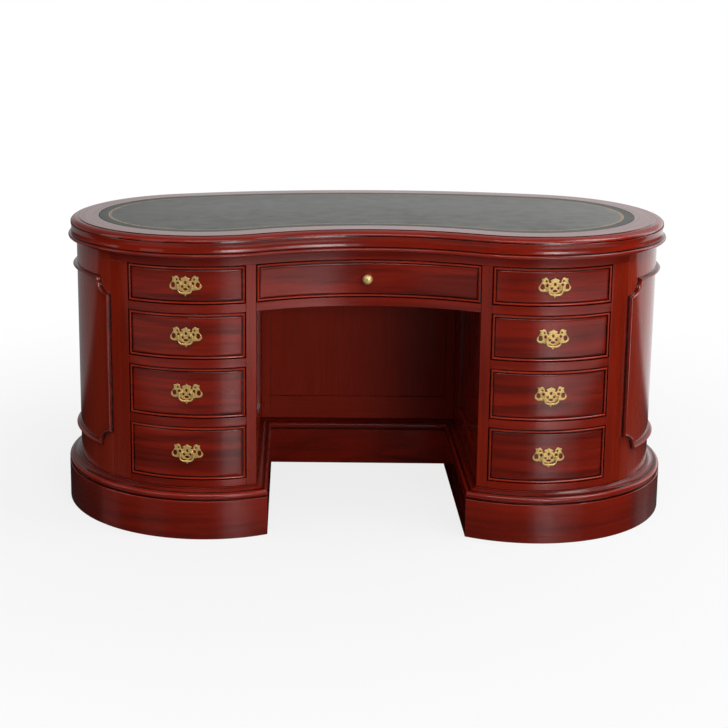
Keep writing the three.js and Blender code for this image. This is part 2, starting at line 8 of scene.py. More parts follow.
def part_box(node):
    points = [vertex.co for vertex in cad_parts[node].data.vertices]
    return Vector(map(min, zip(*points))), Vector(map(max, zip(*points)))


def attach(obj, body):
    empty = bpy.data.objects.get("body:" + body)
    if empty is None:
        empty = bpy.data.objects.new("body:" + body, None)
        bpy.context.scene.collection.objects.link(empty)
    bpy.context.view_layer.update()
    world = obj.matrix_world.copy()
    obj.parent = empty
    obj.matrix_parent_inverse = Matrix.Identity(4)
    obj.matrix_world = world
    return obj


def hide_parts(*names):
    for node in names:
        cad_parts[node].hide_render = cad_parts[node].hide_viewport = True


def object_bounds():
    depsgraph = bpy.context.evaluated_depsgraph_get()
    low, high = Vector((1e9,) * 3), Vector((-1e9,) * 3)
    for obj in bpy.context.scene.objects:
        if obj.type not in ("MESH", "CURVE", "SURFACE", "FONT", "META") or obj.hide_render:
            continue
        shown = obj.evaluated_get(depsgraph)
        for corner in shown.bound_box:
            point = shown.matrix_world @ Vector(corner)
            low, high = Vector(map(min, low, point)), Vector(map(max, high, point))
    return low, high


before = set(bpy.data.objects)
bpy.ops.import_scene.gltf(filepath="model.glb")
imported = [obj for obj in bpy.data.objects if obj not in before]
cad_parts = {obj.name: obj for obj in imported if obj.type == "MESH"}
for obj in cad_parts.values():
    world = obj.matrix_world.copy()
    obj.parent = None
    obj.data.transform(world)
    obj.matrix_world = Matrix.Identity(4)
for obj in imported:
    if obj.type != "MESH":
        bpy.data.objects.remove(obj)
cad_low, cad_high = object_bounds()

# Camera. It stands in front of the desk, a little left of its middle and above the top, with a long lens.
# The lens shift takes up the crop of the photograph.
image_size = 728
focal_length_px = 1456.74
optical_centre_px = (235.50, 246.74)
camera_place = Vector((-0.1771, -3.9085, 1.4351))
camera_yaw = -0.0434
camera_pitch = 0.1907
camera_roll = -0.0045

camera = bpy.data.objects.new("camera", bpy.data.cameras.new("camera"))
camera.data.sensor_width = 36
camera.data.lens = camera.data.sensor_width * focal_length_px / image_size
camera.data.shift_x = 0.5 - optical_centre_px[0] / image_size
camera.data.shift_y = optical_centre_px[1] / image_size - 0.5
camera.matrix_world = (
    Matrix.Translation(camera_place)
    @ Matrix.Rotation(-camera_yaw, 4, "Z")
    @ Matrix.Rotation(math.pi / 2 - camera_pitch, 4, "X")
    @ Matrix.Rotation(camera_roll, 4, "Z")
)
bpy.context.scene.collection.objects.link(camera)
bpy.context.scene.camera = camera

# Studio. A pale floor in a white surround that is bright behind the desk. A soft window stands to the front
# right, a wide lamp hangs in front and another window is high on the right, with weak fill on the left.
# The lacquer mirrors a darker floor than the camera sees.
bpy.context.scene.view_settings.view_transform = "Standard"
white = (1, 1, 1, 1)
floor_grey = (0.95, 0.95, 0.95, 1)
floor_reach = 30
shadow_reach = (0.6, 2.4)
shadow_strength = 0.2
sheen_roughness = 0.25


def supplied(tree, made, inputs):
    """Sets each input of a node to its constant, or links it to its socket."""
    for name, value in inputs.items():
        if isinstance(value, bpy.types.NodeSocket):
            tree.links.new(value, made.inputs[name])
        else:
            made.inputs[name].default_value = value


def node(tree, kind, inputs=None, **settings):
    """A shader node with its settings and the constants or links of its inputs."""
    made = tree.nodes.new(kind)
    for name, value in settings.items():
        setattr(made, name, value)
    supplied(tree, made, inputs or {})
    return made


def shaded(name):
    """A new material with its node tree and its Principled shader."""
    material = bpy.data.materials.new(name)
    material.use_nodes = True
    tree = material.node_tree
    return material, tree, tree.nodes["Principled BSDF"]


def joined(tree, share, first, second):
    """A mix of two shaders, by the share of the second."""
    return node(tree, "ShaderNodeMixShader", {0: share, 1: first, 2: second}).outputs[0]


def arithmetic(tree, operation, first, second):
    """What a maths operation makes of two numbers, either of which may vary."""
    return node(tree, "ShaderNodeMath", {0: first, 1: second}, operation=operation).outputs[0]


def product(tree, first, *others):
    """The product of several numbers, any of which may vary."""
    for other in others:
        first = arithmetic(tree, "MULTIPLY", first, other)
    return first


def object_place(tree):
    """The place on the piece in its own coordinates, in metres."""
    return node(tree, "ShaderNodeTexCoord").outputs["Object"]


def remapped(tree, value, reach, result=(0.0, 1.0)):
    """A number that goes smoothly from one result to the other as a value crosses its reach."""
    ends = {"From Min": reach[0], "From Max": reach[1], "To Min": result[0], "To Max": result[1]}
    made = node(tree, "ShaderNodeMapRange", {"Value": value, **ends}, interpolation_type="SMOOTHSTEP")
    return made.outputs["Result"]


floor_material, floor_tree, floor_shader = shaded("pale_floor")
floor_place = object_place(floor_tree)
floor_length = node(floor_tree, "ShaderNodeVectorMath", {0: floor_place}, operation="LENGTH")
floor_distance = floor_length.outputs["Value"]
floor_x, floor_y, _ = node(floor_tree, "ShaderNodeSeparateXYZ", {0: floor_place}).outputs


def floor_pool(left, right, depth, distance):
    """A pool of light that only the lacquer mirrors. Each edge of it is a reach and its two results."""
    sides = arithmetic(
        floor_tree, "ADD", remapped(floor_tree, floor_x, *left), remapped(floor_tree, floor_x, *right)
    )
    zone = remapped(floor_tree, floor_y, *depth)
    near = remapped(floor_tree, floor_distance, *distance)
    return product(floor_tree, sides, zone, near)


front_pool = floor_pool(
    left=((-1.2, -0.5), (0.22, 0.05)),
    right=((0.5, 1.2), (0.0, 0.62)),
    depth=((-1.3, -0.9), (1.0, 0.0)),
    distance=((3.2, 4.5), (1.0, 0.0)),
)
back_pool = floor_pool(
    left=((-1.2, -0.7), (0.2, 0.0)),
    right=((0.35, 0.7), (0.0, 0.85)),
    depth=((0.55, 0.85), (0.0, 1.0)),
    distance=((4.5, 7.0), (1.0, 0.0)),
)
floor_glow = arithmetic(floor_tree, "ADD", front_pool, back_pool)
floor_pools = node(floor_tree, "ShaderNodeEmission", {"Color": white, "Strength": floor_glow}).outputs[0]
floor_sheen = remapped(floor_tree, floor_y, (-0.5, 0.2), (0.24, 0.06))
floor_polish = node(
    floor_tree, "ShaderNodeBsdfGlossy", {"Color": floor_sheen, "Roughness": sheen_roughness}
).outputs[0]
floor_mirrored = node(floor_tree, "ShaderNodeAddShader", {0: floor_pools, 1: floor_polish}).outputs[0]
floor_white = node(floor_tree, "ShaderNodeEmission", {"Color": white, "Strength": 1.0}).outputs[0]
floor_lit = node(floor_tree, "ShaderNodeBsdfDiffuse", {"Color": floor_grey}).outputs[0]
shadow_share = remapped(floor_tree, floor_distance, shadow_reach, (shadow_strength, 0.0))
floor_seen = joined(floor_tree, shadow_share, floor_white, floor_lit)
floor_rays = node(floor_tree, "ShaderNodeLightPath").outputs["Is Camera Ray"]
floor_surface = joined(floor_tree, floor_rays, floor_mirrored, floor_seen)
supplied(floor_tree, floor_tree.nodes["Material Output"], {"Surface": floor_surface})
floor_tree.nodes.remove(floor_shader)
floor_mesh = bmesh.new()
bmesh.ops.create_grid(floor_mesh, x_segments=1, y_segments=1, size=floor_reach)
floor = bpy.data.objects.new("floor", bpy.data.meshes.new("floor"))
floor_mesh.to_mesh(floor.data)
floor_mesh.free()
floor.data.materials.append(floor_material)
bpy.context.scene.collection.objects.link(floor)

world = bpy.data.worlds.new("surround")
world.use_nodes = True
sky = world.node_tree
sky_direction = node(sky, "ShaderNodeTexCoord").outputs["Generated"]
sky_x, sky_y, sky_z = node(sky, "ShaderNodeSeparateXYZ", {0: sky_direction}).outputs
sky_left = remapped(sky, sky_x, (-0.5, 0.05), (0.35, 1.0))
sky_right = remapped(sky, sky_x, (0.3, 0.6), (1.0, 1.7))
sky_back = remapped(sky, sky_y, (0.0, 0.5), (0.0, 0.66))
sky_back_rise = remapped(sky, sky_z, (0.2, 0.3), (1.0, 0.5))
sky_front = remapped(sky, sky_y, (-0.3, 0.0), (1.0, 0.0))
sky_front_rise = remapped(sky, sky_z, (0.35, 0.6), (0.0, 0.5))
sky_behind = product(sky, sky_left, sky_right, sky_back, sky_back_rise)
sky_before = product(sky, sky_front, sky_front_rise)
room_light = arithmetic(sky, "ADD", sky_behind, sky_before)
sky_rays = node(sky, "ShaderNodeLightPath").outputs["Is Camera Ray"]
sky_strength = node(sky, "ShaderNodeMix", {0: sky_rays, 2: room_light, 3: 1.0}, data_type="FLOAT").outputs[0]
supplied(sky, sky.nodes["Background"], {"Color": white, "Strength": sky_strength})
bpy.context.scene.world = world

daylight = (0.97, 0.98, 1.0)
eye_height = 1.9
lamp_aim = 0.5


def soft_light(name, bearing, brightness, distance, height, aim_height, size):
    """A rectangular soft light of even brightness that isn't seen itself. Its bearing is from the front,
    positive to the right, in degrees, and it points at the desk's upright axis."""
    turn = math.radians(bearing)
    place = Vector((distance * math.sin(turn), -distance * math.cos(turn), height))
    data = bpy.data.lights.new(name, "AREA")
    data.shape = "RECTANGLE"
    data.size, data.size_y = size
    data.energy = math.pi * size[0] * size[1] * brightness
    data.color = daylight
    light = bpy.data.objects.new(name, data)
    light.location = place
    light.rotation_euler = (Vector((0, 0, aim_height)) - place).to_track_quat("-Z", "Y").to_euler()
    light.visible_camera = False
    bpy.context.scene.collection.objects.link(light)


window_panes = ((9, 1.5), (15, 7.5), (21, 10.5), (27, 7), (33, 4), (39, 2.2), (45, 1.3))
for pane, (bearing, brightness) in enumerate(window_panes):
    soft_light(
        f"front_window_{pane}", bearing, brightness,
        distance=7.0, height=eye_height, aim_height=eye_height, size=(0.75, 1.3),
    )
soft_light("high_window", 75, 4.8, distance=2.2, height=3.0, aim_height=lamp_aim, size=(1.6, 1.6))
soft_light("ceiling_lamp", 2, 7, distance=2.5, height=2.9, aim_height=lamp_aim, size=(2.4, 0.4))
for name, bearing, brightness in (
    ("right_wall", 105, 1.3), ("left_front_wall", -45, 0.6), ("left_wall", -80, 1.0),
):
    soft_light(
        name, bearing, brightness,
        distance=3.0, height=eye_height, aim_height=eye_height, size=(0.9, 2.2),
    )

# Top. A mahogany board with a built-up moulded edge: a thumb moulding, a shallow hollow and a torus.
# Its plan is drawn with tangent arcs: a hollow front, a round end over each pedestal and a bowed back.
pedestal_radius = 0.350
pedestal_reach = 0.424
hollow_radius = 0.610
back_radius = 1.804
hollow_y = -math.sqrt((hollow_radius + pedestal_radius) ** 2 - pedestal_reach ** 2)
back_y = -math.sqrt((back_radius - pedestal_radius) ** 2 - pedestal_reach ** 2)
hollow_angle = math.atan2(pedestal_reach, -hollow_y)
back_angle = math.atan2(pedestal_reach, -back_y)
hollow_run = hollow_radius * hollow_angle
pedestal_run = pedestal_radius * (math.pi - back_angle + hollow_angle)
half_run = hollow_run + pedestal_run + back_radius * back_angle
pedestal_y = (pedestal_radius - back_y - back_radius) / 2

curve_spacing = 0.012
merge_distance = 1e-6
same_place = 1e-5
crease_angle = math.radians(32)
top_overhang = 0.022
top_edge_height = 0.053
leather_border = 0.060
leather_rebate = 0.002
top_hollow_width = 0.062
top_board_thickness = 0.026
torus_centre = 0.0045
torus_radius = 0.0050
thumb_foot = 0.0395
thumb_height = 0.0118
thumb_start = -0.005
thumb_reach = 0.0205
arris_step = 0.0012
border_depth = 0.0003


def around(run, offset):
    """The plan's point at a run from the middle of the front, positive to the right, outside by an offset."""
    if run < 0:
        x, y = around(-run, offset)
        return -x, y
    if run > half_run:
        x, y = around(2 * half_run - run, offset)
        return -x, y
    if run < hollow_run:
        turn = run / hollow_radius
        reach = hollow_radius - offset
        return reach * math.sin(turn), pedestal_y + hollow_y + reach * math.cos(turn)
    if run < hollow_run + pedestal_run:
        turn = (run - hollow_run) / pedestal_radius - hollow_angle
        reach = pedestal_radius + offset
        return pedestal_reach + reach * math.sin(turn), pedestal_y - reach * math.cos(turn)
    turn = (half_run - run) / back_radius
    reach = back_radius + offset
    return reach * math.sin(turn), pedestal_y + back_y + reach * math.cos(turn)


def along_plan(co):
    """Carries a flat point (run, depth inward, height) onto the curved plan."""
    x, y = around(co.x, -co.y)
    return Vector((x, y, co.z))


def moved(verts, place):
    """Carries each vertex to the place that a function gives for it."""
    for vert in verts:
        vert.co = place(vert.co)


def ring_slices(bm, start, end, spacing):
    """Cuts the long edges of a straight bar into equal lengths, so that it can be bent."""
    long_edges = [e for e in bm.edges if abs(e.verts[0].co.x - e.verts[1].co.x) > (end - start) / 2]
    cuts = max(1, round((end - start) / spacing)) - 1
    bmesh.ops.subdivide_edges(bm, edges=long_edges, cuts=cuts, use_grid_fill=True)


def moulded_bar(profile, start, end, closed=True, spacing=curve_spacing):
    """A straight bar from a profile of (offset, height, darkening by glazing and painted shade), extruded
    along the run.
    """
    bm = bmesh.new()
    darkening_and_shade = bm.verts.layers.float.new("darkening_and_shade")
    ring = [bm.verts.new((start, -offset, height)) for offset, height, _ in profile]
    for vert, (_, _, amount) in zip(ring, profile):
        vert[darkening_and_shade] = amount
    if closed:
        grown = bmesh.ops.extrude_face_region(bm, geom=[bm.faces.new(ring)])["geom"]
    else:
        edges = [bm.edges.new(pair) for pair in zip(ring, ring[1:])]
        grown = bmesh.ops.extrude_edge_only(bm, edges=edges)["geom"]
    far = [g for g in grown if isinstance(g, bmesh.types.BMVert)]
    bmesh.ops.translate(bm, vec=(end - start, 0, 0), verts=far)
    ring_slices(bm, start, end, spacing)
    return bm


def closed_round(bm, heights):
    """Bends a bar round the whole plan, joins its ends and fills its rims at two heights."""
    moved(bm.verts, along_plan)
    bmesh.ops.remove_doubles(bm, verts=bm.verts, dist=merge_distance)
    rims = [e for e in bm.edges if e.is_boundary]
    for height in heights:
        rim = [e for e in rims if abs(e.verts[0].co.z - height) < same_place]
        bmesh.ops.triangle_fill(bm, use_beauty=True, edges=rim)


piece_count = 0
log_steps = (0.731, 0.417)
log_size = (7.0, 5.0)


def set_grain(bm, along):
    """Writes the flat place of each corner as its UV in metres: along the grain, then across it.
    Each board starts at another place of the log."""
    global piece_count
    piece_count += 1
    uv = bm.loops.layers.uv.new("grain")
    shift = Vector([step * piece_count % size for step, size in zip(log_steps, log_size)])
    for face in bm.faces:
        for loop in face.loops:
            co = loop.vert.co
            across = (co.y + co.z, co.x + co.z, co.x + co.y)[along]
            loop[uv].uv = Vector((co[along], across)) + shift


def finished(bm, name, materials, replaced, body="carcass", slot="mahogany"):
    """Makes the bmesh an object that rides on a body, with crisp edges where it turns sharply. The wide
    flats of the joinery keep their true direction beside their narrow bevels."""
    bmesh.ops.remove_doubles(bm, verts=bm.verts, dist=merge_distance)
    bmesh.ops.recalc_face_normals(bm, faces=bm.faces)
    for face in bm.faces:
        face.smooth = True
    for edge in bm.edges:
        edge.smooth = edge.calc_face_angle(0) < crease_angle
    piece = bpy.data.objects.new(name, bpy.data.meshes.new(name))
    bm.to_mesh(piece.data)
    bm.free()
    for material in materials:
        piece.data.materials.append(material)
    bpy.context.scene.collection.objects.link(piece)
    if slot == "mahogany":
        weighted = piece.modifiers.new("true_flats", "WEIGHTED_NORMAL")
        weighted.keep_sharp = True
    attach(piece, body)
    if replaced:
        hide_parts(*replaced)


def shader_group(name, inputs, outputs):
    """A shader node group with named sockets, and its two end nodes."""
    group = bpy.data.node_groups.new(name, "ShaderNodeTree")
    for direction, sockets in (("INPUT", inputs), ("OUTPUT", outputs)):
        for label, kind in sockets.items():
            group.interface.new_socket(name=label, in_out=direction, socket_type=f"NodeSocket{kind}")
    return group, group.nodes.new("NodeGroupInput"), group.nodes.new("NodeGroupOutput")


# The figure of mahogany: broad dark clouds, ribbon streaks and short pores, all drawn out along the grain.
figure_group, figure_in, figure_out = shader_group(
    "mahogany_figure",
    inputs={"Place": "Vector", "Light": "Color", "Dark": "Color", "Streak": "Float"},
    outputs={"Color": "Color", "Roughness": "Float", "Height": "Float"},
)


def noise(tree, place, scale, detail, distortion=0.0):
    """A cloudy pattern between 0 and 1."""
    inputs = {"Vector": place, "Scale": scale, "Detail": detail, "Distortion": distortion}
    return node(tree, "ShaderNodeTexNoise", inputs).outputs["Fac"]


def stretched_noise(tree, place, scale, detail, distortion=0.0):
    """Noise with a scale of its own along each axis."""
    drawn = node(tree, "ShaderNodeMapping", {"Vector": place, "Scale": scale}).outputs[0]
    return noise(tree, drawn, 1.0, detail, distortion)


def mixed_colour(tree, share, first, second):
    """A mix of two colours, by the share of the second."""
    return node(tree, "ShaderNodeMix", {0: share, 6: first, 7: second}, data_type="RGBA").outputs[2]


cloud_scale = (1.6, 14, 1)
ribbon_scale = (3.2, 75, 1)
pore_scale = (45, 1100, 1)
cloud_share = 0.75
ribbon_share = 0.45
pore_share = 0.35
grain_place = figure_in.outputs["Place"]
log_dark = figure_in.outputs["Dark"]
cloud_noise = stretched_noise(figure_group, grain_place, cloud_scale, 3, 1.2)
ribbon_noise = stretched_noise(figure_group, grain_place, ribbon_scale, 4, 0.5)
pore_noise = stretched_noise(figure_group, grain_place, pore_scale, 2)
clouds = remapped(figure_group, cloud_noise, (0.38, 0.66))
ribbons = remapped(figure_group, ribbon_noise, (0.42, 0.64))
pores = remapped(figure_group, pore_noise, (0.56, 0.7))
cloud_dark = product(figure_group, clouds, cloud_share)
ribbon_dark = product(figure_group, ribbons, ribbon_share)
figure = arithmetic(figure_group, "ADD", cloud_dark, ribbon_dark)
streaks = product(figure_group, figure, figure_in.outputs["Streak"])
figured = mixed_colour(figure_group, streaks, figure_in.outputs["Light"], log_dark)
pore_dark = product(figure_group, pores, pore_share)
supplied(figure_group, figure_out, {
    "Color": mixed_colour(figure_group, pore_dark, figured, log_dark),
    "Roughness": remapped(figure_group, ribbons, (0, 1), (0.23, 0.3)),
    "Height": arithmetic(figure_group, "SUBTRACT", 1.0, pores),
})

# The dark glazing that is wiped off the flats and stays in the quirks, together with painted shade in the
# quirks, crevices and corners, with an uneven edge.
glaze_and_shade_group, glaze_and_shade_in, glaze_and_shade_out = shader_group(
    "dark_glaze_and_shade",
    inputs={"Color": "Color", "Place": "Vector", "Amount": "Float"},
    outputs={"Color": "Color", "Amount": "Float"},
)
glaze_and_shade_black = (0.006, 0.002, 0.002, 1)
glaze_and_shade_scale = (30, 60, 30)
glaze_and_shade_noise = stretched_noise(glaze_and_shade_group, glaze_and_shade_in.outputs["Place"], glaze_and_shade_scale, 3)
patchy = remapped(glaze_and_shade_group, glaze_and_shade_noise, (0.3, 0.6), (0.75, 1.0))
glazed_and_shaded = product(glaze_and_shade_group, glaze_and_shade_in.outputs["Amount"], patchy)
darkened = mixed_colour(glaze_and_shade_group, glazed_and_shaded, glaze_and_shade_in.outputs["Color"], glaze_and_shade_black)
supplied(glaze_and_shade_group, glaze_and_shade_out, {"Color": darkened, "Amount": glazed_and_shaded})


def relief(tree, height, strength, distance):
    """A slight relief drawn from a pattern."""
    made = node(tree, "ShaderNodeBump", {"Height": height, "Strength": strength, "Distance": distance})
    return made.outputs[0]


def mahogany(name, light, dark, streak, lacquer=0.9):
    """Lacquered mahogany. Its figure follows the flat place of each board."""
    material, tree, shader = shaded(name)
    place = node(tree, "ShaderNodeUVMap", uv_map="grain").outputs[0]
    wood = {"Place": place, "Light": (*light, 1), "Dark": (*dark, 1), "Streak": streak}
    figure = node(tree, "ShaderNodeGroup", wood, node_tree=figure_group).outputs
    # Glazing and painted shade darken the wood by the amount that each corner carries.
    glaze_and_shade_amount = node(tree, "ShaderNodeAttribute", attribute_name="darkening_and_shade").outputs["Fac"]
    glaze_and_shade_inputs = {"Color": figure["Color"], "Place": place, "Amount": glaze_and_shade_amount}
    darkening_and_shade = node(tree, "ShaderNodeGroup", glaze_and_shade_inputs, node_tree=glaze_and_shade_group).outputs
    supplied(tree, shader, {
        "Base Color": darkening_and_shade["Color"],
        "Roughness": figure["Roughness"],
        "Normal": relief(tree, figure["Height"], 0.05, 0.0002),
        "Specular IOR Level": 0.15,
        "Coat Weight": lacquer,
        "Coat Roughness": 0.08,
        "Coat IOR": 1.45,
    })
    return material


red_light = (0.345, 0.0180, 0.0055)
red_dark = (0.10, 0.0064, 0.0032)
straight_mahogany = mahogany("straight_mahogany", red_light, red_dark, 0.55)
figured_mahogany = mahogany("figured_mahogany", red_light, (0.062, 0.0045, 0.0028), 0.64)
border_mahogany = mahogany("border_mahogany", (0.25, 0.031, 0.022), (0.17, 0.020, 0.014), 0.4)

top_low = cad_high.z - top_edge_height


def arc(out, up, radii, start, end, steps):
    """The points of an arc about a centre, between two angles in degrees, without glaze."""
    turns = (math.radians(start + (end - start) * step / steps) for step in range(steps + 1))
    return [(out + radii[0] * math.cos(turn), up + radii[1] * math.sin(turn), 0.0) for turn in turns]


torus_out = top_overhang - torus_radius
torus_section = arc(torus_out, top_low + torus_centre, (torus_radius, torus_radius), -64, 84, 10)
torus_crevice = [(out, up, 0.6) for out, up, _ in torus_section[-2:]]
thumb_section = arc(thumb_start, top_low + thumb_foot, (thumb_reach, thumb_height), 0, 80, 8)

hollow_section = [
    (0.0131, 0.0098, 1.0),
    (0.0134, 0.0108, 1.0),
    (0.0150, 0.0113, 0.4),
    (0.0154, 0.0122, 0.0),
    (0.0153, 0.0142, 0.0),
    (0.0145, 0.0180, 0.0),
    (0.0140, 0.0225, 0.0),
    (0.0140, 0.0270, 0.0),
    (0.0145, 0.0315, 0.0),
    (0.0153, 0.0345, 0.0),
    (0.0154, 0.0358, 0.1),
    (0.0149, 0.0366, 0.4),
    (0.0132, 0.0371, 0.9),
    (0.0130, 0.0384, 1.0),
    (0.0150, 0.0390, 0.4),
]
arris = thumb_start - arris_step
inner_rim = top_overhang - top_hollow_width
board_low = cad_high.z - top_board_thickness
rebate_floor = cad_high.z - leather_rebate
# The quirks, the crevice where the torus meets the hollow, the arris step and the rebate wall are darkened:
# painted shade together with glazing.
top_profile = [
    (inner_rim, board_low, 0.0),
    (inner_rim, top_low, 0.0),
    *torus_section[:-2],
    *torus_crevice,
    *((out, top_low + up, darkening_and_shade) for out, up, darkening_and_shade in hollow_section),
    *thumb_section,
    (thumb_start, cad_high.z - 0.0018, 0.7),
    (arris, cad_high.z - 0.0016, 1.0),
    (arris, cad_high.z - 0.0005, 0.5),
    (arris - 0.0005, cad_high.z, 0.1),
    (-leather_border / 2, cad_high.z, 0.0),
    (-leather_border + 0.0006, cad_high.z, 0.4),
    (-leather_border, cad_high.z - 0.0005, 1.0),
    (-leather_border, rebate_floor, 1.0),
]
top = moulded_bar(top_profile, -half_run, half_run, closed=False)
for face in top.faces:
    if min(v.co.z for v in face.verts) > cad_high.z - border_depth:
        face.material_index = 1
set_grain(top, 0)
closed_round(top, (board_low, rebate_floor))
finished(top, "moulded_top", [straight_mahogany, border_mahogany], ["top_board"])

# Leather. A sheet of grey-green hide glued into the rebate of the top, with a gilt double line tooled
# some way inside its edge.
leather_gap = 0.0003
leather_thickness = 0.0017
leather_edge = -leather_border - leather_gap
tooling_inset = 0.027
tooling_edge = -leather_border - tooling_inset
tooling_depth = 0.00015
tooling_tolerance = 1e-6
tooling = (
    (0.0, False),
    (0.0005, True),
    (0.0033, True),
    (0.0038, False),
    (0.0052, False),
    (0.0056, True),
    (0.0068, True),
    (0.0072, False),
)


def hide(name, colour, soil_and_shade, roughness):
    """Finished hide: small creased cells, faint cloudiness, a soft polish, a soiled edge and painted shade at
    the rebate.
    """
    material, tree, shader = shaded(name)
    place = object_place(tree)
    clouds = noise(tree, place, 3.0, 4.0)
    mottle = noise(tree, place, 22.0, 5.0)
    cells = node(
        tree, "ShaderNodeTexVoronoi", {"Vector": place, "Scale": 900.0}, feature="DISTANCE_TO_EDGE"
    ).outputs["Distance"]
    uneven = product(tree, arithmetic(tree, "ADD", clouds, mottle), 0.5)
    darker = tuple(0.72 * c for c in colour)
    tint = mixed_colour(tree, remapped(tree, uneven, (0.36, 0.62)), (*darker, 1), (*colour, 1))
    edge = node(tree, "ShaderNodeAttribute", attribute_name="darkening_and_shade").outputs["Fac"]
    supplied(tree, shader, {
        "Base Color": mixed_colour(tree, edge, tint, (*soil_and_shade, 1)),
        "Roughness": remapped(tree, clouds, (0.3, 0.7), (roughness, roughness + 0.08)),
        "Normal": relief(tree, cells, 0.25, 0.0002),
    })
    return material


green_hide = hide("green_hide", (0.225, 0.228, 0.216), (0.012, 0.013, 0.012), 0.4)

gilt_thin = (0.5, 0.34, 0.13, 1)
gilt_full = (1.0, 0.74, 0.34, 1)
gilt_material, gilt_tree, gilt_shader = shaded("gilt_tooling")
worn = remapped(gilt_tree, noise(gilt_tree, object_place(gilt_tree), 260.0, 3.0), (0.35, 0.6))
gilt_tint = mixed_colour(gilt_tree, worn, gilt_thin, gilt_full)
supplied(gilt_tree, gilt_shader, {"Base Color": gilt_tint, "Metallic": 0.6, "Roughness": 0.4})

leather_low = cad_high.z - leather_thickness
# The outer strip of the hide is darkened as soil, and its very edge against the rebate with painted shade.
leather_profile = [
    (leather_edge, leather_low, 1.0),
    (leather_edge, cad_high.z - 0.0008, 1.0),
    (leather_edge - 0.0008, cad_high.z - 0.0002, 0.8),
    (leather_edge - 0.0022, cad_high.z, 0.55),
    (leather_edge - 0.0060, cad_high.z, 0.5),
    (tooling_edge + 0.002, cad_high.z, 0.42),
    *(
        (tooling_edge - inset, cad_high.z - (tooling_depth if pressed else 0), 0.0)
        for inset, pressed in tooling
    ),
]
leather = moulded_bar(leather_profile, -half_run, half_run, closed=False)
for face in leather.faces:
    if all(abs(v.co.z - cad_high.z + tooling_depth) < tooling_tolerance for v in face.verts):
        face.material_index = 1
closed_round(leather, (leather_low, cad_high.z))
finished(leather, "leather_sheet", [green_hide, gilt_material], ["leather_inlay"], slot="leather")

# Frieze rail. One rail of mahogany runs over all five parts of the front, glued up under the top. It is
# bent to the bows and the hollow, with its grain along it.
wall_thickness = 0.022
edge_rounding = 0.0009
bent_rounding = 0.0004
stile_outer_x = 0.6535


def run_at(x, offset=0.0):
    """The run at which the front of the plan reaches a distance to the right of the middle."""
    if abs(x) <= (hollow_radius - offset) * math.sin(hollow_angle):
        return math.copysign(hollow_radius * math.asin(abs(x) / (hollow_radius - offset)), x)
    turn = math.asin((abs(x) - pedestal_reach) / (pedestal_radius + offset))
    return math.copysign(hollow_run + pedestal_radius * (turn + hollow_angle), x)


def cut_across(bm, place, normal):
    """Cuts every face of a piece where a plane crosses it."""
    everything = bm.verts[:] + bm.edges[:] + bm.faces[:]
    bmesh.ops.bisect_plane(bm, geom=everything, plane_co=place, plane_no=normal)


def sliced(bm, start, end, spacing=curve_spacing):
    """Cuts a board across X at equal steps, so that it can be bent."""
    count = max(2, round((end - start) / spacing))
    for step in range(1, count):
        cut_across(bm, (start + (end - start) * step / count, 0, 0), (1, 0, 0))


def block(low, high):
    """A sawn block between two corners."""
    bm = bmesh.new()
    bm.verts.layers.float.new("darkening_and_shade")
    low, high = Vector(low), Vector(high)
    bmesh.ops.create_cube(bm, size=1)
    bmesh.ops.scale(bm, vec=high - low, verts=bm.verts)
    bmesh.ops.translate(bm, vec=(low + high) / 2, verts=bm.verts)
    return bm


def board(low, high, along, rounding=edge_rounding):
    """A straight board with eased edges, with its grain along X, Y or Z (0, 1 or 2)."""
    bm = block(low, high)
    bmesh.ops.bevel(
        bm, geom=bm.edges[:], offset=rounding, offset_type="OFFSET", affect="EDGES",
        segments=2, profile=0.5, material=-1,
    )
    set_grain(bm, along)
    return bm


def bent_board(start, end, low_z, high_z, along):
    """A board bent to the plan between two runs."""
    bm = board((start, 0, low_z), (end, wall_thickness, high_z), along, bent_rounding)
    sliced(bm, start, end)
    moved(bm.verts, along_plan)
    return bm


frieze_low, frieze_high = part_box("frieze_rail")
wall_run = run_at(stile_outer_x)
frieze = bent_board(-wall_run, wall_run, frieze_low.z, frieze_high.z, 0)
finished(frieze, "frieze", [straight_mahogany], ["frieze_rail"])

# End walls and back wall. Bent boards veneered with the grain upright, from the outer stiles round the
# back, each butted to the next.
panel_mahogany = mahogany("panel_mahogany", (0.39, 0.029, 0.0090), (0.19, 0.0140, 0.0066), 0.28)
back_panel_reach = 0.526
wall_low, wall_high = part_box("right_end_wall")


def run_behind(x):
    """The run at which the bowed back of the plan reaches a distance to the right of the middle."""
    if x <= back_radius * math.sin(back_angle):
        return half_run - back_radius * math.asin(x / back_radius)
    turn = math.pi - math.asin((x - pedestal_reach) / pedestal_radius)
    return hollow_run + pedestal_radius * (turn + hollow_angle)


def sided(bm, side):
    """Mirrors a piece that was made for the right, if it stands on the left."""
    if side == "left":
        moved(bm.verts, lambda co: Vector((-co.x, co.y, co.z)))


back_run = run_behind(back_panel_reach)
for side in ("right", "left"):
    wall = bent_board(wall_run, back_run, wall_low.z, wall_high.z, 2)
    sided(wall, side)
    finished(wall, f"{side}_end_panel", [panel_mahogany], [f"{side}_end_wall"])

back = bent_board(back_run, 2 * half_run - back_run, wall_low.z, wall_high.z, 2)
finished(back, "back_panel", [panel_mahogany], ["back_wall"])

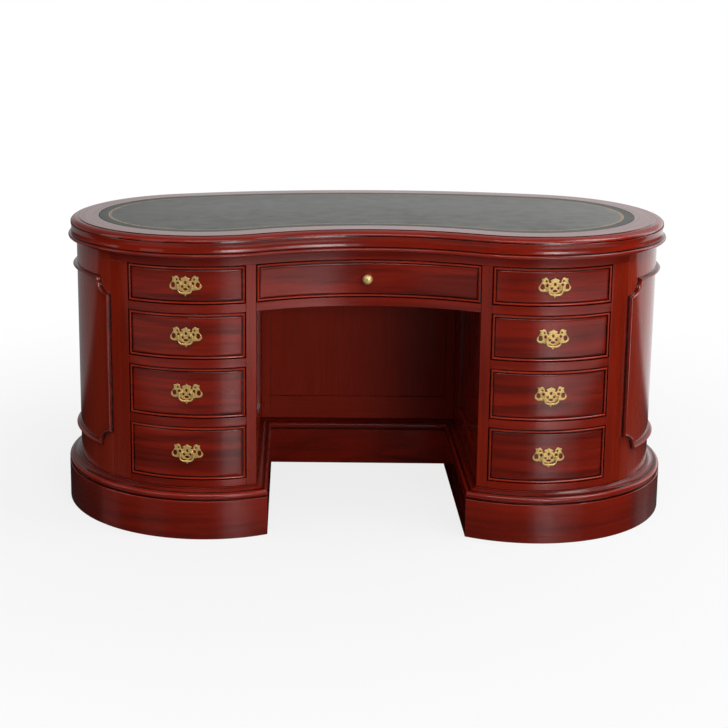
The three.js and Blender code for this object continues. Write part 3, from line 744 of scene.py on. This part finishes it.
# Raised panel mouldings. A half-round bead between two fillets, planted on the walls in closed frames
# whose corners are notched by a quarter circle.
# Its feet are darkened against the wall: painted shade together with glazing.
moulding_section = (
    (0.0000, -0.0006, 1.0),
    (0.0000, 0.0006, 1.0),
    (0.0012, 0.0008, 1.0),
    (0.0016, 0.0036, 0.8),
    (0.0022, 0.0068, 0.3),
    (0.0034, 0.0098, 0.0),
    (0.0048, 0.0110, 0.0),
    (0.0062, 0.0104, 0.0),
    (0.0074, 0.0080, 0.0),
    (0.0082, 0.0048, 0.2),
    (0.0088, 0.0020, 0.8),
    (0.0094, 0.0008, 1.0),
    (0.0106, 0.0006, 1.0),
    (0.0106, -0.0006, 1.0),
)
notch_radius = 0.042
notch_steps = 10
moulding_low = 0.202
moulding_high = 0.656


def stepped(bm, faces, section):
    """Sinks or raises faces step by step, by a section of (distance from the edge, rise, darkening by glazing
    and painted shade).
    """
    darkening_and_shade = bm.verts.layers.float["darkening_and_shade"]
    for vert in {v for f in faces for v in f.verts}:
        vert[darkening_and_shade] = section[0][2]
    for before, after in zip(section, section[1:]):
        bmesh.ops.inset_region(
            bm,
            faces=faces,
            thickness=after[0] - before[0],
            depth=after[1] - before[1],
            use_boundary=True,
            use_even_offset=True,
        )
        for vert in {v for f in faces for v in f.verts}:
            vert[darkening_and_shade] = after[2]


def planted_moulding(corners):
    """A closed frame of moulding on a flat wall, from its outline in (X, Z). It stands towards -Y."""
    bm = bmesh.new()
    bm.verts.layers.float.new("darkening_and_shade")
    foot = -moulding_section[0][1]
    face = bm.faces.new([bm.verts.new((x, foot, z)) for x, z in corners])
    face.normal_update()
    if face.normal.y > 0:
        face.normal_flip()
    stepped(bm, [face], moulding_section)
    inner = list(face.edges)
    outer = [e for e in bm.edges if e.is_boundary]
    bm.faces.remove(face)
    bmesh.ops.bridge_loops(bm, edges=inner + outer)
    return bm


def notched(low_x, high_x, low_z, high_z):
    """The outline of a panel whose corners are cut by quarter circles."""
    corners = ((low_x, low_z, 90), (high_x, low_z, 180), (high_x, high_z, 270), (low_x, high_z, 360))
    radii = (notch_radius, notch_radius)
    return [
        (x, z)
        for corner_x, corner_z, start in corners
        for x, z, _ in arc(corner_x, corner_z, radii, start, start - 90, notch_steps)
    ]


def moulding_frame(low_run, high_run):
    """A frame of moulding bent to the plan between two runs."""
    frame_bead = planted_moulding(notched(low_run, high_run, moulding_low, moulding_high))
    sliced(frame_bead, low_run, high_run)
    set_grain(frame_bead, 0)
    moved(frame_bead.verts, along_plan)
    return frame_bead


end_bead_reach = 0.575
back_bead_reach = 0.490
for side in ("right", "left"):
    end_bead = moulding_frame(wall_run, run_behind(end_bead_reach))
    sided(end_bead, side)
    finished(end_bead, f"{side}_end_bead", [straight_mahogany], [f"{side}_end_moulding"])

back_bead_run = run_behind(back_bead_reach)
back_bead = moulding_frame(back_bead_run, 2 * half_run - back_bead_run)
finished(back_bead, "back_bead", [straight_mahogany], [])

# Outer sides. A wide stile with upright grain on the bow, and behind it a flat partition that carries
# the drawer frames.
stile_inner_x = 0.6055
partition_thickness = 0.018
stile_mahogany = mahogany("stile_mahogany", (0.35, 0.020, 0.0050), (0.13, 0.0078, 0.0034), 0.48)
stile_low, stile_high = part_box("right_outer_side")


def together(parts):
    """Puts the boards of one made-up piece into one bmesh."""
    whole = bmesh.new()
    for part in parts:
        mesh = bpy.data.meshes.new("board")
        part.to_mesh(mesh)
        part.free()
        whole.from_mesh(mesh)
        bpy.data.meshes.remove(mesh)
    return whole


def front_y(x, offset):
    """The depth of the front of the plan, outside by an offset, at a distance from the middle."""
    if abs(x) <= (hollow_radius - offset) * math.sin(hollow_angle):
        return pedestal_y + hollow_y + math.sqrt((hollow_radius - offset) ** 2 - x * x)
    return pedestal_y - math.sqrt((pedestal_radius + offset) ** 2 - (abs(x) - pedestal_reach) ** 2)


def bowed(co):
    """Carries a flat point (X, depth inward, height) onto the front, with X kept."""
    return Vector((co.x, front_y(co.x, -co.y), co.z))


def bowed_stile(co):
    """As bowed, with the outer end of the stile cut square to the curve."""
    if co.x > stile_outer_x - edge_rounding / 2:
        x, y = around(wall_run, -co.y)
        return Vector((x, y, co.z))
    return bowed(co)


for side in ("right", "left"):
    stile = board((stile_inner_x, 0, stile_low.z), (stile_outer_x, wall_thickness, stile_high.z), 2)
    sliced(stile, stile_inner_x, stile_outer_x, curve_spacing / 2)
    moved(stile.verts, bowed_stile)
    partition = board(
        (stile_inner_x, front_y(stile_inner_x, 0) + wall_thickness, stile_low.z),
        (stile_inner_x + partition_thickness, stile_high.y, stile_high.z),
        1,
    )
    outer_side = together([stile, partition])
    sided(outer_side, side)
    finished(outer_side, f"{side}_stile", [stile_mahogany], [f"{side}_outer_side"])

# Kneehole sides. Thick boards whose front edges are the inner stiles. Each is framed round a plain panel
# that lies deeper, with a dark line in its corners: painted shade together with glazing.
knee_x = 0.2805
side_thickness = 0.025
knee_outer_x = knee_x + side_thickness
side_recess = 0.008
side_front_stile = 0.060
side_back_stile = 0.125
rail_gap = 0.0003
panel_drop = 0.022
flat_depth = 1.0
knee_back_low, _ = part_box("kneehole_back")
centre_frame_low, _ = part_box("centre_runner_frame")
panel_top = centre_frame_low.z - panel_drop
shoulder = frieze_low.z - rail_gap
panel_front = front_y(knee_x, 0) + side_front_stile
panel_back = knee_back_low.y - side_back_stile
knee_panel_section = (
    (0.0000, 0.0000, 0.0),
    (0.0005, 0.0000, 0.2),
    (0.0017, -0.0012, 0.0),
    (0.0023, -0.0070, 0.3),
    (0.0027, -side_recess, 1.0),
    (0.0047, -side_recess, 1.0),
    (0.0077, -side_recess, 0.0),
)


def fronted(rear_y, setback=0.0):
    """Bends the front half of a board that was made flat_depth deep to the plan, and puts its back edge
    at a depth."""
    def place(co):
        if co.y < flat_depth / 2:
            return Vector((co.x, front_y(co.x, -co.y - setback), co.z))
        return Vector((co.x, rear_y - (flat_depth - co.y), co.z))
    return place


for side in ("right", "left"):
    side_low, side_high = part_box(f"{side}_kneehole_side")
    lower = board((knee_x, 0, side_low.z), (knee_outer_x, flat_depth, shoulder), 2)
    upper = board((knee_x, 0, shoulder), (knee_outer_x, flat_depth, side_high.z), 2)
    moved(lower.verts, fronted(side_high.y))
    moved(upper.verts, fronted(side_high.y, wall_thickness))
    for y in (panel_front, panel_back):
        cut_across(lower, (0, y, 0), (0, 1, 0))
    for z in (moulding_low, panel_top):
        cut_across(lower, (0, 0, z), (0, 0, 1))
    field = []
    for face in lower.faces:
        middle = face.calc_center_median()
        inside = panel_front < middle.y < panel_back and moulding_low < middle.z < panel_top
        if inside and abs(middle.x - knee_x) < same_place:
            field.append(face)
    stepped(lower, field, knee_panel_section)
    knee_board = together([lower, upper])
    sided(knee_board, side)
    finished(knee_board, f"{side}_knee_board", [stile_mahogany], [f"{side}_kneehole_side"])

# Drawer frames and bottom boards. A rail in front, bent to the bow, two runners and a back rail; the
# lowest drawer runs on a full board.
runner_width = 0.030
rail_depth = 0.046


def runner_frame(node_name, name):
    """A frame of four boards, whose front rail reaches in past the deepest point of the front."""
    low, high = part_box(node_name)
    deepest_x = 0 if low.x < 0 < high.x else max(low.x, high.x, key=abs)
    rail_back = front_y(deepest_x, 0) + rail_depth
    rail = board((low.x, 0, low.z), (high.x, flat_depth, high.z), 0)
    sliced(rail, low.x, high.x)
    moved(rail.verts, fronted(rail_back))
    runners = [
        board((x, rail_back, low.z), (x + runner_width, high.y, high.z), 1)
        for x in (low.x, high.x - runner_width)
    ]
    rear = board(
        (low.x + runner_width, high.y - runner_width, low.z), (high.x - runner_width, high.y, high.z), 0
    )
    finished(together([rail, *runners, rear]), name, [straight_mahogany], [node_name])


for side in ("right", "left"):
    for level in (1, 2, 3):
        runner_frame(f"{side}_runner_frame_{level}", f"{side}_drawer_rail_{level}")
    low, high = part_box(f"{side}_bottom_board")
    bottom = board((low.x, 0, low.z), (high.x, flat_depth, high.z), 0)
    sliced(bottom, low.x, high.x)
    moved(bottom.verts, fronted(high.y))
    finished(bottom, f"{side}_bottom_shelf", [straight_mahogany], [f"{side}_bottom_board"])
runner_frame("centre_runner_frame", "centre_drawer_rail")

# Kneehole back. Two stiles and two rails of mahogany round a panel that lies deeper. It stands in shadow
# and its finish is duller than that of the front.
back_stile = 0.025
back_rail_top = 0.194
panel_recess = 0.007
panel_rounding = 0.0003
dull_mahogany = mahogany("dull_mahogany", (0.44, 0.034, 0.0140), (0.26, 0.020, 0.0105), 0.32, 0.08)
low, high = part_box("kneehole_back")
left_x = low.x + back_stile
right_x = high.x - back_stile
back_boards = [
    board((low.x, low.y, low.z), (left_x, high.y, high.z), 2),
    board((right_x, low.y, low.z), (high.x, high.y, high.z), 2),
    board((left_x, low.y, low.z), (right_x, high.y, back_rail_top), 0),
    board((left_x, low.y, panel_top), (right_x, high.y, high.z), 0),
    board((left_x, low.y + panel_recess, back_rail_top), (right_x, high.y, panel_top), 2, panel_rounding),
]
finished(together(back_boards), "kneehole_panel", [dull_mahogany], ["kneehole_back"])

# Plinth. A deep board with a torus and a small hollow run along its top, mitred where it turns into the
# kneehole and across the kneehole's back.
plinth_projection = 0.033
knee_projection = 0.0285
plinth_height = 0.128
plinth_face = 0.1012
plinth_torus_out = 0.0240
plinth_torus_up = 0.1118
plinth_torus_radii = (0.0085, 0.0085)
# Its foot, the quirks, the hollow above the torus and its joint with the carcass are darkened: painted shade
# together with glazing.
plinth_profile = [
    (-wall_thickness, 0.0, 0.0),
    (plinth_projection - 0.001, 0.0, 0.4),
    (plinth_projection, 0.001, 0.3),
    (plinth_projection, plinth_face - 0.0012, 0.0),
    (plinth_projection - 0.0010, plinth_face, 0.0),
    (plinth_projection - 0.0022, plinth_face + 0.0002, 0.7),
    (plinth_projection - 0.0064, plinth_face + 0.0004, 1.0),
    (plinth_projection - 0.0066, plinth_face + 0.0012, 1.0),
    *arc(plinth_torus_out, plinth_torus_up, plinth_torus_radii, -70, 80, 10),
    (0.0225, 0.1206, 1.0),
    (0.0200, 0.1208, 1.0),
    (0.0160, 0.1216, 0.5),
    (0.0120, 0.1232, 0.2),
    (0.0090, 0.1250, 0.3),
    (0.0075, 0.1264, 0.9),
    (0.0062, 0.1268, 0.9),
    (0.0052, 0.1272, 0.2),
    (0.0036, 0.1277, 0.2),
    (0.0030, plinth_height, 0.8),
    (-wall_thickness, plinth_height, 0.0),
]
end_plinth_mahogany = mahogany("end_plinth_mahogany", (0.23, 0.018, 0.0085), (0.13, 0.010, 0.006), 0.45, 0.7)
plinth_start = run_at(knee_x)


def mitred(co):
    """As along_plan, with the end at the kneehole cut to its mitre."""
    out = -co.y
    if co.x < plinth_start + same_place:
        x = knee_x - out * knee_projection / plinth_projection
        return Vector((*around(run_at(x, out), out), co.z))
    return along_plan(co)


for side in ("right", "left"):
    base = moulded_bar(plinth_profile, plinth_start, half_run)
    set_grain(base, 0)
    for face in base.faces:
        if min(v.co.x for v in face.verts) > wall_run and max(v.co.z for v in face.verts) < plinth_face:
            face.material_index = 1
    moved(base.verts, mitred)
    sided(base, side)
    finished(base, f"{side}_base", [straight_mahogany, end_plinth_mahogany], [f"{side}_plinth"])

knee_lengths = 3
knee_base = moulded_bar(plinth_profile, 0, knee_lengths, spacing=1)
set_grain(knee_base, 0)


def knee_path(co):
    """Carries the corners between three lengths of plinth to the left side, the back and the right side
    of the kneehole, mitred at each turn."""
    corner = round(co.x)
    out = -co.y
    inward = out * knee_projection / plinth_projection
    x = knee_x - inward
    y = front_y(x, out) if corner in (0, knee_lengths) else knee_back_low.y - inward
    return Vector((-x if corner < knee_lengths / 2 else x, y, co.z))


moved(knee_base.verts, knee_path)
finished(knee_base, "kneehole_base", [straight_mahogany], ["kneehole_plinth"])

# Drawer fronts. Solid boards sawn to the bow or the hollow, veneered with the grain level. A cock bead of
# lighter wood stands round the edge, with a quirk inside it and a flat field. Painted shade together with
# glazing darkens the bead's outer side in the gap and the quirk.
front_thickness = 0.024
front_spacing = 0.010
bead_depth = 0.00125
bead_mahogany = mahogany("bead_mahogany", (0.48, 0.034, 0.0100), (0.24, 0.015, 0.0050), 0.4)
bead_section = (
    (0.0000, -0.0036, 1.0),
    (0.0011, -0.0030, 1.0),
    (0.0014, -0.0012, 0.5),
    (0.0019, 0.0004, 0.0),
    (0.0027, 0.0015, 0.0),
    (0.0038, 0.0019, 0.0),
    (0.0049, 0.0016, 0.0),
    (0.0058, 0.0006, 0.0),
    (0.0064, -0.0010, 0.4),
    (0.0068, -0.0028, 1.0),
    (0.0073, -0.0036, 1.0),
    (0.0082, -0.0037, 1.0),
    (0.0090, -0.0029, 0.4),
    (0.0100, -0.0020, 0.1),
    (0.0118, -0.0015, 0.0),
    (0.0150, -0.0015, 0.0),
)


def drawer_front(node_name, name, body):
    """A front made flat, with its bead, quirk and field worked in steps, and then bent."""
    low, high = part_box(node_name)
    bm = block((low.x, -bead_section[0][1], low.z), (high.x, front_thickness, high.z))
    stepped(bm, [min(bm.faces, key=lambda f: f.calc_center_median().y)], bead_section)
    for face in bm.faces:
        if max(v.co.y for v in face.verts) < bead_depth:
            face.material_index = 1
    sliced(bm, low.x, high.x, front_spacing)
    set_grain(bm, 0)
    moved(bm.verts, bowed)
    finished(bm, name, [figured_mahogany, bead_mahogany], [node_name], body)


for side in ("right", "left"):
    for level in (1, 2, 3, 4):
        drawer = f"{side}_drawer_{level}"
        drawer_front(f"{drawer}_front", f"{drawer}_beaded_front", drawer)
drawer_front("centre_drawer_front", "centre_drawer_beaded_front", "centre_drawer")

# Drawer boxes. Pale planed boards, waxed and not stained, with their faint grain level. The sides, back
# and bottom of each box keep the shape of the part's own solid.
pale_light = (0.52, 0.34, 0.18, 1)
pale_dark = (0.36, 0.21, 0.1, 1)
pale_scale = (6, 6, 160)
pale_wood, pale_tree, pale_shader = shaded("drawer_lining")
pale_noise = stretched_noise(pale_tree, object_place(pale_tree), pale_scale, 4, 0.4)
pale_grain = remapped(pale_tree, pale_noise, (0.35, 0.68))
supplied(pale_tree, pale_shader, {
    "Base Color": mixed_colour(pale_tree, pale_grain, pale_light, pale_dark),
    "Roughness": remapped(pale_tree, pale_grain, (0, 1), (0.5, 0.6)),
})
for name, cad_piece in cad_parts.items():
    if name.endswith("_box"):
        cad_piece.data.materials.clear()
        cad_piece.data.materials.append(pale_wood)

# Handles. Each is a pierced cast brass plate bent to the bow, two turned posts with round heads, and a
# bail that hangs from them.
plate_half_width = 0.0405
plate_height = 0.0536
plate_thickness = 0.0025
plate_gap = 0.0003
plate_edge_radius = 0.0011
edge_tilt = 0.3
plate_rise = 0.001
field_drop = 0.0015
seat_radius = pedestal_radius - field_drop
post_spacing = 0.025
post_rise = 0.0035
post_radius = 0.0028
post_steps = 16
pin_reach = 0.0095
pin_distance = plate_thickness / 2 + pin_reach
bail_radius = 0.0021
bail_gap = 0.0003
bail_drop = 0.025
bail_half_width = post_spacing / 2 + post_radius + bail_gap + bail_radius
ball_radius = bail_radius * 1.02
upright = Matrix.Rotation(math.radians(90), 4, "X")


def polished_brass(name, colour, roughness, roughcast, metallic):
    """Polished cast brass with a faint brown bloom in patches, more or less uneven from the mould."""
    material, tree, shader = shaded(name)
    place = object_place(tree)
    bloom = noise(tree, place, 220.0, 4.0)
    browned = (0.75 * colour[0], 0.66 * colour[1], 0.5 * colour[2], 1)
    supplied(tree, shader, {
        "Base Color": mixed_colour(tree, remapped(tree, bloom, (0.45, 0.75)), (*colour, 1), browned),
        "Roughness": remapped(tree, bloom, (0.3, 0.7), (roughness, roughness + 0.12)),
        "Metallic": metallic,
        "Normal": relief(tree, noise(tree, place, 200.0, 2.0), roughcast, 0.0016),
    })
    return material


brass = polished_brass("polished_brass", (1.0, 0.70, 0.26), 0.2, 0.5, 0.4)
knob_brass = polished_brass("knob_brass", (1.0, 0.74, 0.31), 0.2, 0.03, 0.5)
# A dark brass for the walls of each plate: tarnish together with painted shade.
tarnish_and_shade_brass = polished_brass("tarnish_and_shade_brass", (0.20, 0.10, 0.04), 0.5, 0.3, 0.8)

# The right half of the plate from its crest to its drop, as shares of its half width and height, and
# whether the outline turns sharply there. Then the middle and the reach of each opening.
plate_outline_shares = (
    (0, 0.465, True), (0.07, 0.40, False), (0.19, 0.365, False), (0.31, 0.315, True),
    (0.235, 0.245, False), (0.30, 0.205, False), (0.36, 0.225, False), (0.40, 0.345, True),
    (0.48, 0.425, False), (0.59, 0.465, True), (0.70, 0.41, False), (0.83, 0.41, True),
    (0.80, 0.27, False), (0.88, 0.14, False), (0.985, 0.023, False), (1.0, -0.07, False),
    (0.91, -0.167, False), (0.73, -0.214, False), (0.545, -0.219, False), (0.485, -0.265, True),
    (0.43, -0.16, True), (0.37, -0.22, False), (0.24, -0.28, False), (0.09, -0.305, True),
    (0.075, -0.43, False), (0, -0.535, True),
)
plate_piercing_shares = (
    (0.77, 0.02, 0.12, 0.135), (0.47, 0.09, 0.08, 0.08), (0.20, -0.055, 0.07, 0.065),
    (0, -0.18, 0.14, 0.06), (0, 0.135, 0.07, 0.08), (0.54, 0.28, 0.055, 0.045),
)


def curve_mesh(curve):
    """The mesh of a curve object, which is then removed."""
    made = bpy.data.objects.new("curve", curve)
    bpy.context.scene.collection.objects.link(made)
    depsgraph = bpy.context.evaluated_depsgraph_get()
    mesh = bpy.data.meshes.new_from_object(made.evaluated_get(depsgraph))
    bpy.data.objects.remove(made)
    bm = bmesh.new()
    bm.from_mesh(mesh)
    bpy.data.meshes.remove(mesh)
    bpy.data.curves.remove(curve)
    bmesh.ops.remove_doubles(bm, verts=bm.verts, dist=merge_distance)
    return bm


def smooth_spline(curve, points, cyclic):
    """A bezier spline through (x, y, sharp, radius) points."""
    spline = curve.splines.new("BEZIER")
    spline.bezier_points.add(len(points) - 1)
    spline.use_cyclic_u = cyclic
    for bezier, (x, y, sharp, radius) in zip(spline.bezier_points, points):
        bezier.co = (x, y, 0)
        bezier.radius = radius
        bezier.handle_left_type = bezier.handle_right_type = "VECTOR" if sharp else "AUTO"


def pierced_plate():
    """The plate upright in X and Z with its back towards the bow, before it is bent."""
    curve = bpy.data.curves.new("plate", "CURVE")
    curve.dimensions = "2D"
    curve.fill_mode = "BOTH"
    curve.resolution_u = 4
    curve.bevel_depth = plate_edge_radius
    curve.bevel_resolution = 3
    curve.offset = -plate_edge_radius
    curve.extrude = plate_thickness / 2 - plate_edge_radius
    right_half = [(plate_half_width * x, plate_height * z, sharp, 1) for x, z, sharp in plate_outline_shares]
    left_half = [(-x, z, sharp, radius) for x, z, sharp, radius in right_half[1:-1]]
    smooth_spline(curve, [*right_half, *reversed(left_half)], True)
    for x, z, wide, tall in plate_piercing_shares:
        radii = (plate_half_width * wide, plate_height * tall)
        for sign in ((1,) if x == 0 else (1, -1)):
            ring = arc(plate_half_width * sign * x, plate_height * z, radii, 0, 300, 5)
            smooth_spline(curve, [(point_x, point_z, False, 1) for point_x, point_z, _ in ring], True)
    bm = curve_mesh(curve)
    bm.normal_update()
    # The walls of the outline and the openings take the dark brass: tarnish together with painted shade.
    for face in bm.faces:
        if abs(face.normal.z) < edge_tilt:
            face.material_index = 1
    place = Matrix.Translation((0, -plate_gap - plate_thickness / 2, 0)) @ upright
    bmesh.ops.transform(bm, matrix=place, verts=bm.verts)
    return bm


def turned_piece(profile, steps):
    """A turning about Y that stands towards -Y, from (radius, height) points. Its ends lie on the axis."""
    bm = bmesh.new()
    ring = [bm.verts.new((radius, -height, 0)) for radius, height in profile]
    edges = [bm.edges.new(pair) for pair in zip(ring, ring[1:])]
    bmesh.ops.spin(
        bm, geom=ring + edges, cent=(0, 0, 0), axis=(0, 1, 0), dvec=(0, 0, 0),
        angle=2 * math.pi, steps=steps, use_merge=True, use_duplicate=False,
    )
    bmesh.ops.remove_doubles(bm, verts=bm.verts, dist=merge_distance)
    return bm


def on_bow(x, z):
    """The matrix that stands a handle square to the bow at its middle."""
    turn = math.asin((abs(x) - pedestal_reach) / seat_radius)
    seat_x = math.copysign(pedestal_reach + seat_radius * math.sin(turn), x)
    seat = Vector((seat_x, pedestal_y - seat_radius * math.cos(turn), z))
    return Matrix.Translation(seat) @ Matrix.Rotation(math.copysign(turn, x), 4, "Z")


def bent(co):
    """Bends the flat plate back to the bow of the drawer front."""
    return Vector((co.x, co.y + seat_radius - math.sqrt(seat_radius ** 2 - co.x ** 2), co.z))


post_profile = (
    (0, 0.0012), (0.0030, 0.0014), (0.0031, 0.0026), (0.0023, 0.0036), (0.0016, 0.0048),
    (0.0015, 0.0066), (0.0018, 0.0078), (0.0022, 0.0090), (0.0024, 0.0106), (0.0021, 0.0120),
    (0.0012, 0.0130), (0, 0.0133),
)
bail_shares = (
    (1, 0, 1.0), (1.0, -0.20, 0.85), (0.99, -0.42, 0.9), (0.92, -0.62, 1.0),
    (0.68, -0.79, 1.1), (0.36, -0.85, 1.15), (0, -0.865, 1.2),
)


def hanging_bail():
    """The bail on its plate: its two balls lie on the line through the posts' heads."""
    curve = bpy.data.curves.new("bail", "CURVE")
    curve.dimensions = "3D"
    curve.resolution_u = 6
    curve.bevel_depth = bail_radius
    curve.bevel_resolution = 3
    curve.use_fill_caps = True
    half = [(bail_half_width * x, bail_drop * z, False, radius) for x, z, radius in bail_shares]
    other = [(-x, z, sharp, radius) for x, z, sharp, radius in reversed(half[:-1])]
    smooth_spline(curve, half + other, False)
    rod = curve_mesh(curve)
    bmesh.ops.transform(rod, matrix=upright, verts=rod.verts)
    parts = [rod]
    for sign in (1, -1):
        ball = bmesh.new()
        bmesh.ops.create_uvsphere(ball, u_segments=12, v_segments=8, radius=ball_radius)
        bmesh.ops.translate(ball, vec=(sign * bail_half_width, 0, 0), verts=ball.verts)
        parts.append(ball)
    bail = together(parts)
    bmesh.ops.translate(bail, vec=(0, -pin_distance, post_rise), verts=bail.verts)
    return bail


for side, sign in (("right", 1), ("left", -1)):
    for level in (1, 2, 3, 4):
        drawer = f"{side}_drawer_{level}"
        low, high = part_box(f"{drawer}_front")
        stand = on_bow(sign * (stile_inner_x + knee_outer_x) / 2, (low.z + high.z) / 2 + plate_rise)
        plate = pierced_plate()
        moved(plate.verts, bent)
        posts = []
        for post_side in (1, -1):
            post = turned_piece(post_profile, post_steps)
            bmesh.ops.translate(post, vec=(post_side * post_spacing / 2, 0, post_rise), verts=post.verts)
            posts.append(post)
        mounted = together([plate, *posts])
        bmesh.ops.transform(mounted, matrix=stand, verts=mounted.verts)
        finished(
            mounted, f"{drawer}_pierced_plate", [brass, tarnish_and_shade_brass], [f"{drawer}_plate"], drawer, "brass"
        )
        swing = hanging_bail()
        bmesh.ops.transform(swing, matrix=stand, verts=swing.verts)
        finished(swing, f"{drawer}_swing_handle", [brass], [f"{drawer}_bail"], f"{drawer}_handle", "brass")

# Knob. A turned brass ball on a short neck, screwed to the middle of the centre drawer. It is polished
# smooth, without the cast skin of the plates.
low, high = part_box("centre_knob")
knob_profile = (
    (0, 0.0), (0.0080, 0.0), (0.0082, 0.0016), (0.0070, 0.0026), (0.0050, 0.0036), (0.0044, 0.0060),
    (0.0058, 0.0080), (0.0092, 0.0098), (0.0118, 0.0124), (0.0129, 0.0158), (0.0124, 0.0196),
    (0.0104, 0.0230), (0.0074, 0.0254), (0.0040, 0.0266), (0, 0.0270),
)
knob_steps = 32
knob = turned_piece(knob_profile, knob_steps)
bmesh.ops.translate(knob, vec=(0, high.y, (low.z + high.z) / 2), verts=knob.verts)
finished(knob, "turned_knob", [knob_brass], ["centre_knob"], "centre_drawer", "brass")
